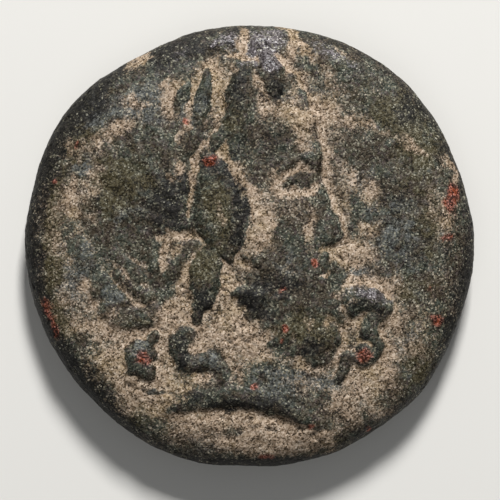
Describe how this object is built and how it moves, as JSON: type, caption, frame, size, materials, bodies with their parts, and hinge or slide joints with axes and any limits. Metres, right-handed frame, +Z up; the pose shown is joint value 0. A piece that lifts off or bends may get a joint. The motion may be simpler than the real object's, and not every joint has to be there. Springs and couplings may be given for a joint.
{
  "type": "bronze coin",
  "caption": "Struck bronze coin on a thick rounded flan: bearded laurel-crowned head in profile, worn reverse with a thunderbolt in a wreath, soil-filled patina",
  "frame": {"origin": "middle of the underside, where the worn reverse rests, at the bottom centre of the coin's box", "axes": "+Z up out of the head's side, +Y to the top of the head, +X the way the head faces"},
  "size_m": [0.0206, 0.0202, 0.0033],
  "materials": {
    "bronze_patina": "struck bronze under a dark green-grey patina, with tan soil in the hollows and small red corrosion spots"
  },
  "bodies": {
    "root": {"coin": "bronze_patina"}
  },
  "joints": []
}
